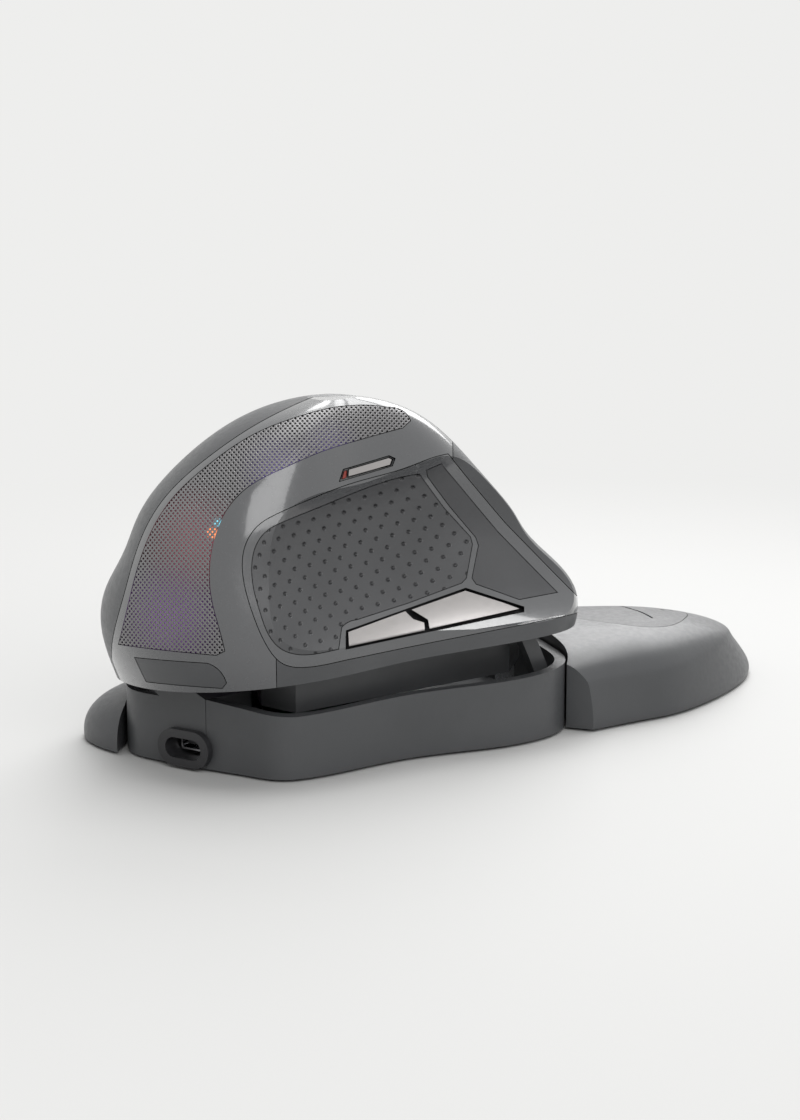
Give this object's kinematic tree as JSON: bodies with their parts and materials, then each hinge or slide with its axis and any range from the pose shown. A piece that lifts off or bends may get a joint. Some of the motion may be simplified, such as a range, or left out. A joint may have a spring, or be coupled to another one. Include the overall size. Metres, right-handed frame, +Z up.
{
  "type": "ergonomic mouse",
  "caption": "Right-handed vertical mouse: a fin-shaped body with thumb rest and mesh nose that tilts on a base tray, and a lift-away palm rest.",
  "frame": {"origin": "centre of the bounding box's underside, on the desk", "axes": "+Y forward to the nose and USB inlet, +X to the user's right (click buttons), +Z up; the thumb side faces -X"},
  "size_m": [0.0741, 0.161, 0.0728],
  "materials": {
    "satin_charcoal": "satin",
    "gloss_gunmetal": "gloss",
    "grip_rubber": "fine texture",
    "silver_button": "satin",
    "mesh_black": "perforated",
    "light_guide": "translucent",
    "inner_plastic": "moulded",
    "steel": "drawn",
    "plated_steel": "plated",
    "circuit_board": "solder mask",
    "chip_black": "moulded",
    "clear_lens": "clear",
    "slide_foot": "smooth",
    "cell_wrap": "film",
    "red_light": "clear",
    "led_white": "clear"
  },
  "bodies": {
    "base": {"base_tray": "satin_charcoal", "front_block": "satin_charcoal", "usb_shroud": "satin_charcoal", "usb_port": "plated_steel", "usb_tongue": "chip_black", "sensor_board": "circuit_board", "board_screws": "steel", "optical_sensor": "chip_black", "sensor_lens": "clear_lens", "controller_chip": "chip_black", "power_switch": "chip_black", "strut_guide": "inner_plastic", "hinge_pins": "steel", "base_feet": "slide_foot", "strike_plates": "steel"},
    "knob": {"power_knob": "silver_button"},
    "palm_rest": {"palm_rest_shell": "satin_charcoal", "palm_rest_plate": "inner_plastic", "palm_rest_pad": "grip_rubber", "palm_rest_magnets": "plated_steel", "palm_rest_feet": "slide_foot"},
    "body": {"front_shell": "gloss_gunmetal", "mesh_grille": "mesh_black", "light_diffuser": "light_guide", "badge_plate": "satin_charcoal", "thumb_trim": "gloss_gunmetal", "thumb_grip": "grip_rubber", "rear_grip": "grip_rubber", "thumb_shell": "inner_plastic", "side_band": "satin_charcoal", "belly_plate": "inner_plastic", "lower_tub": "satin_charcoal", "body_screws": "steel", "tilt_strut": "satin_charcoal", "battery": "cell_wrap", "battery_strap": "inner_plastic", "wheel_strip": "gloss_gunmetal", "body_shell": "satin_charcoal", "wheel_encoder": "chip_black", "main_board": "circuit_board", "left_click_switch": "chip_black", "right_click_switch": "chip_black", "wheel_click_switch": "chip_black", "main_chip": "chip_black", "board_bracket": "inner_plastic", "light_strip": "circuit_board", "light_chips": "led_white", "button_well": "inner_plastic", "dome_switches": "steel", "resolution_bezel": "gloss_gunmetal", "resolution_light": "red_light"},
    "left_button": {"left_button": "satin_charcoal"},
    "right_button": {"right_button": "satin_charcoal"},
    "front_thumb_button": {"front_thumb_button": "silver_button"},
    "rear_thumb_button": {"rear_thumb_button": "silver_button"},
    "resolution_button": {"resolution_button": "silver_button"},
    "carrier": {"wheel_carrier": "inner_plastic"},
    "wheel": {"wheel_tyre": "grip_rubber", "wheel_hub": "gloss_gunmetal", "wheel_axle": "steel"}
  },
  "joints": [
    {"name": "body_tilt", "type": "hinge", "parent": "base", "child": "body", "pos_m": [0.024, 0, 0.0115], "axis": [0, 1, 0], "range_deg": [-5, 0]},
    {"name": "palm_rest_pull", "type": "slide", "parent": "base", "child": "palm_rest", "axis": [0.65, -0.76, 0], "range_m": [0, 0.025]},
    {"name": "power_knob_slide", "type": "slide", "parent": "base", "child": "knob", "axis": [0, 1, 0], "range_m": [-0.0015, 0.0015]},
    {"name": "left_click", "type": "hinge", "parent": "body", "child": "left_button", "pos_m": [0.00933, 0.018, 0.05614], "axis": [-0.5446, 0, 0.8387], "range_deg": [0, 0.9], "stiffness_Nm_per_rad": 0.8, "springref_deg": -0.57},
    {"name": "right_click", "type": "hinge", "parent": "body", "child": "right_button", "pos_m": [0.02735, 0.018, 0.03684], "axis": [-0.5446, 0, 0.8387], "range_deg": [0, 0.9], "stiffness_Nm_per_rad": 0.8, "springref_deg": -0.57},
    {"name": "wheel_press", "type": "slide", "parent": "body", "child": "carrier", "axis": [-0.8387, 0, -0.5446], "range_m": [0, 0.0006], "stiffness_N_per_m": 1500, "springref_m": -0.0002},
    {"name": "wheel_spin", "type": "hinge", "parent": "carrier", "child": "wheel", "pos_m": [0.01612, 0.044, 0.04624], "axis": [-0.5446, 0, 0.8387], "continuous": true},
    {"name": "front_thumb_press", "type": "slide", "parent": "body", "child": "front_thumb_button", "axis": [0.7498, -0.2999, -0.5898], "range_m": [0, 0.0003], "stiffness_N_per_m": 1200, "springref_m": -0.0003},
    {"name": "rear_thumb_press", "type": "slide", "parent": "body", "child": "rear_thumb_button", "axis": [0.7498, -0.2999, -0.5898], "range_m": [0, 0.0003], "stiffness_N_per_m": 1200, "springref_m": -0.0003},
    {"name": "resolution_press", "type": "slide", "parent": "body", "child": "resolution_button", "axis": [0.8071, -0.2018, -0.5549], "range_m": [0, 0.0004], "stiffness_N_per_m": 1200, "springref_m": -0.0003}
  ]
}
